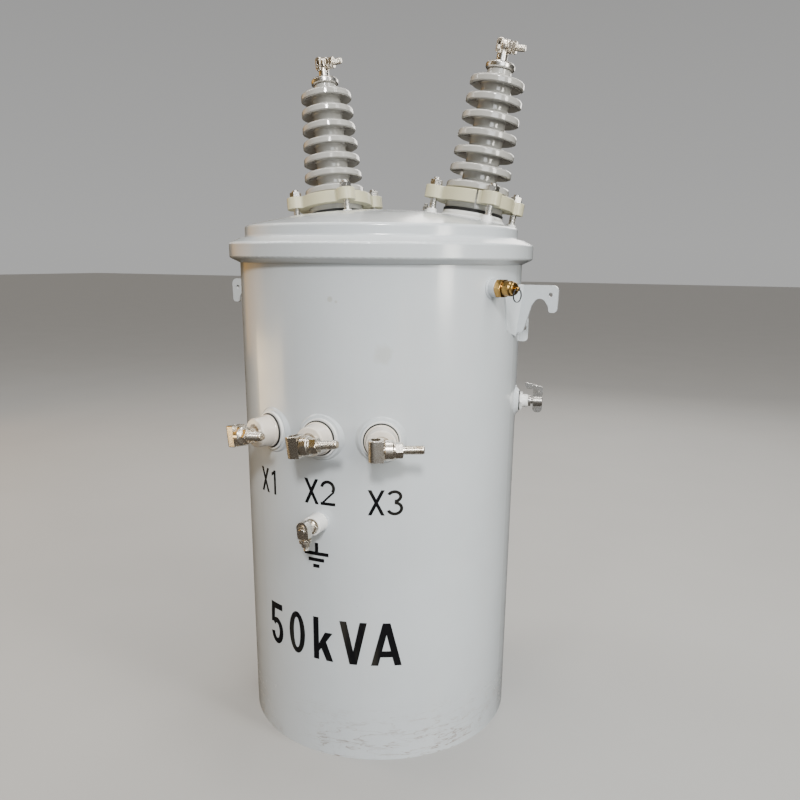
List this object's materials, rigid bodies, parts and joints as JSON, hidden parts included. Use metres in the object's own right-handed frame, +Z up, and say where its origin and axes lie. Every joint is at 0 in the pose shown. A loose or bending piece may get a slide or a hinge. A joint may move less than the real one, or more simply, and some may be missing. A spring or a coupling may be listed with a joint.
{
  "type": "pole mounted transformer",
  "caption": "Round steel tank of a single-phase distribution transformer with a clamped domed cover, porcelain bushings, terminals, relief valve, tap changer and lifting lugs.",
  "frame": {"origin": "on the floor under the middle of the round tank", "axes": "+Z up along the tank, -Y towards the low-voltage bushings, the pole side at +Y"},
  "size_m": [0.6466, 0.6581, 1.2278],
  "materials": {
    "tank_paint": "gloss",
    "seat_paint": "gloss",
    "ring_paint": "satin",
    "gasket": "matte",
    "zinc": "satin",
    "tinned_bronze": "satin",
    "brass": "satin",
    "dark_steel": "satin",
    "hv_glaze": "gloss",
    "lv_glaze": "gloss"
  },
  "bodies": {
    "tank": {"tank_wall": "tank_paint", "tank_bottom": "tank_paint", "cover": "tank_paint", "cover_gasket": "gasket", "clamp_band": "tank_paint", "band_bolt": "zinc", "hv_seats": "seat_paint", "hv_gaskets": "gasket", "lv_seat_rings": "seat_paint", "lv_gaskets": "gasket", "earth_boss": "seat_paint", "earth_clamp": "tinned_bronze", "earth_bolt": "tinned_bronze", "relief_boss": "tank_paint", "relief_body": "brass", "right_lug": "tank_paint", "left_lug": "tank_paint", "side_bracket": "tank_paint", "tap_boss": "tank_paint", "tap_gasket": "gasket", "tap_neck": "seat_paint", "upper_hanger": "tank_paint", "lower_hanger": "tank_paint", "hv_porcelain_right": "hv_glaze", "hv_ring_right": "ring_paint", "hv_studs_right": "zinc", "hv_cap_right": "zinc", "hv_terminal_right": "tinned_bronze", "hv_eye_bolt_right": "tinned_bronze", "hv_porcelain_left": "hv_glaze", "hv_ring_left": "ring_paint", "hv_studs_left": "zinc", "hv_cap_left": "zinc", "hv_terminal_left": "tinned_bronze", "hv_eye_bolt_left": "tinned_bronze", "lv_porcelain_1": "lv_glaze", "lv_terminal_1": "tinned_bronze", "lv_eye_bolt_1": "tinned_bronze", "lv_porcelain_2": "lv_glaze", "lv_terminal_2": "tinned_bronze", "lv_eye_bolt_2": "tinned_bronze", "lv_porcelain_3": "lv_glaze", "lv_terminal_3": "tinned_bronze", "lv_eye_bolt_3": "tinned_bronze"},
    "relief_stem": {"relief_stem": "brass"},
    "pull_ring": {"pull_ring": "dark_steel"},
    "tap_handle": {"tap_handle": "zinc"}
  },
  "joints": [
    {"name": "relief_pull", "type": "slide", "parent": "tank", "child": "relief_stem", "axis": [0.9397, -0.342, 0], "range_m": [0, 0.005], "stiffness_N_per_m": 800, "springref_m": -0.005},
    {"name": "ring_swing", "type": "hinge", "parent": "relief_stem", "child": "pull_ring", "pos_m": [0.28116, -0.10233, 0.8165], "axis": [-0.342, -0.9397, 0], "range_deg": [0, 120]},
    {"name": "tap_turn", "type": "hinge", "parent": "tank", "child": "tap_handle", "pos_m": [0.2738, 0.06321, 0.613], "axis": [0.9744, 0.225, 0], "range_deg": [-72, 72]}
  ]
}
